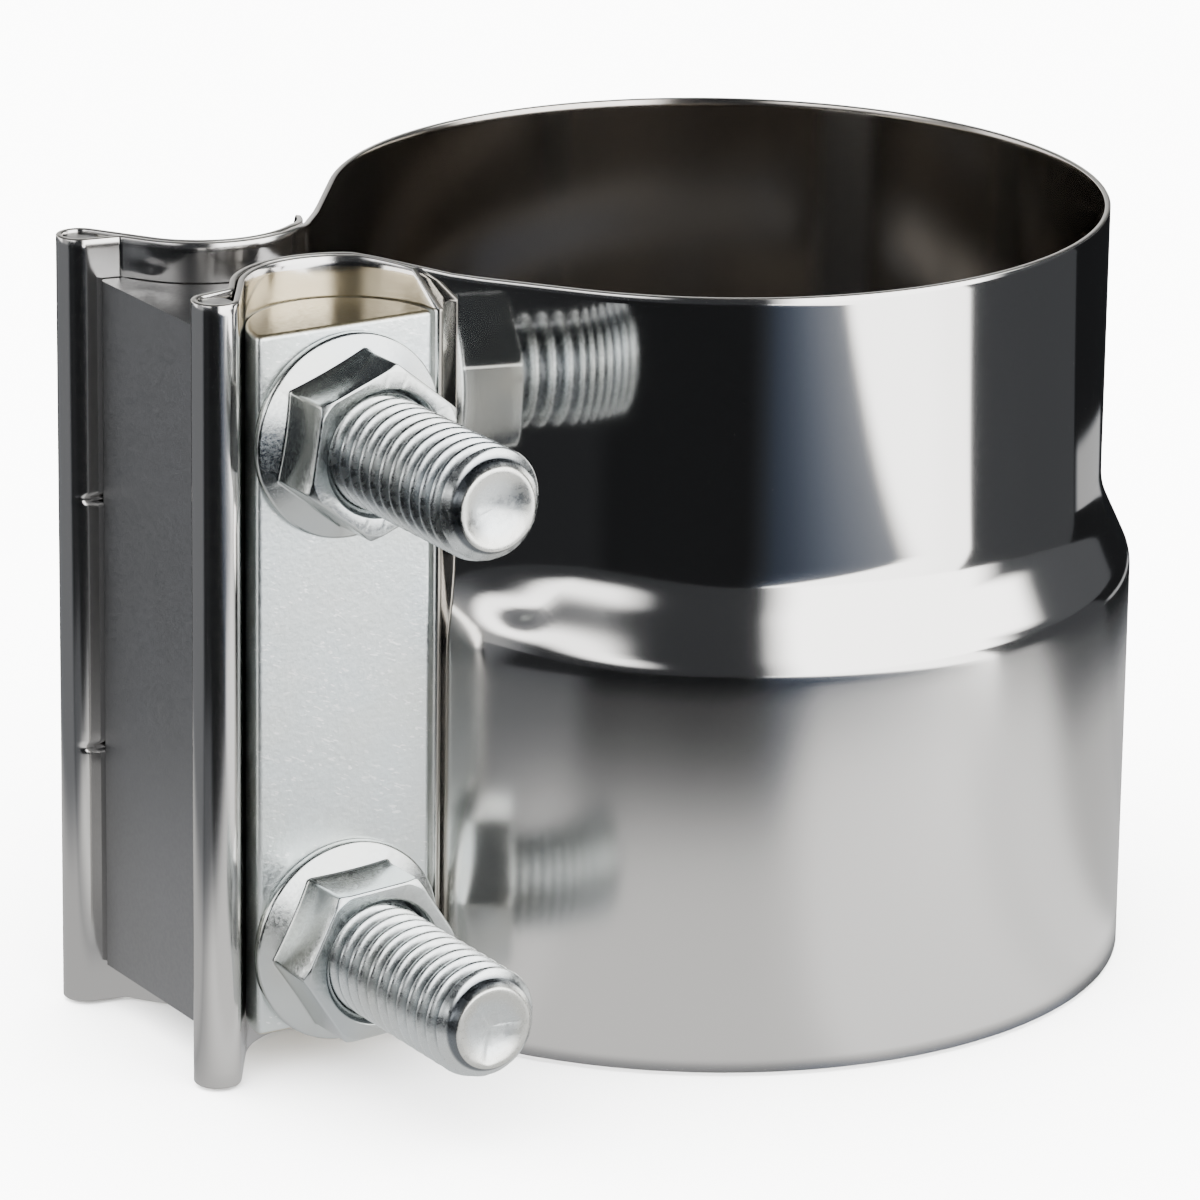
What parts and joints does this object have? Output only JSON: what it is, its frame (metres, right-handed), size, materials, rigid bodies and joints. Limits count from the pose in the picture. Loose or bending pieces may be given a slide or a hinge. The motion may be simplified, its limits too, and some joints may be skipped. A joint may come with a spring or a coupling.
{
  "type": "lap joint exhaust clamp",
  "caption": "Stepped sheet band that closes over two exhaust pipe ends of different size, its flanges folded round rods and drawn together by flange bolts and nuts on a waisted spacer.",
  "frame": {"origin": "centre of the larger socket's open end, at the lower rim of the band", "axes": "+Z along the pipe axis from the larger socket to the smaller one, -X towards the flanges, -Y towards the nuts, +Y towards the bolt heads"},
  "size_m": [0.1086, 0.084, 0.078],
  "materials": {
    "band": "bright polished stainless steel sheet",
    "rod": "drawn steel wire, dull",
    "bar": "zinc plated half-round bar",
    "block": "dull grey plated steel",
    "bolt": "bright zinc plated steel",
    "nut": "bright zinc plated steel"
  },
  "bodies": {
    "clamp": {"band": "band", "near_rod": "rod", "far_rod": "rod", "near_bar": "bar", "far_bar": "bar", "spacer_block": "block"},
    "upper_bolt": {"upper_bolt": "bolt"},
    "lower_bolt": {"lower_bolt": "bolt"},
    "upper_nut": {"upper_nut": "nut"},
    "lower_nut": {"lower_nut": "nut"}
  },
  "joints": [
    {"name": "upper_bolt_turn", "type": "hinge", "parent": "clamp", "child": "upper_bolt", "pos_m": [-0.05084, 0, 0.0632], "axis": [0, 1, 0], "range_deg": [0, 3960]},
    {"name": "lower_bolt_turn", "type": "hinge", "parent": "clamp", "child": "lower_bolt", "pos_m": [-0.05084, 0, 0.0124], "axis": [0, 1, 0], "range_deg": [0, 3960]},
    {"name": "upper_nut_run", "type": "slide", "parent": "clamp", "child": "upper_nut", "axis": [0, -1, 0], "range_m": [0, 0.02]},
    {"name": "lower_nut_run", "type": "slide", "parent": "clamp", "child": "lower_nut", "axis": [0, -1, 0], "range_m": [0, 0.02]}
  ],
  "couplings": [
    {"joint": "upper_nut_run", "follows": "upper_bolt_turn", "m_per_rad": 0.00028871},
    {"joint": "lower_nut_run", "follows": "lower_bolt_turn", "m_per_rad": 0.00028871}
  ]
}
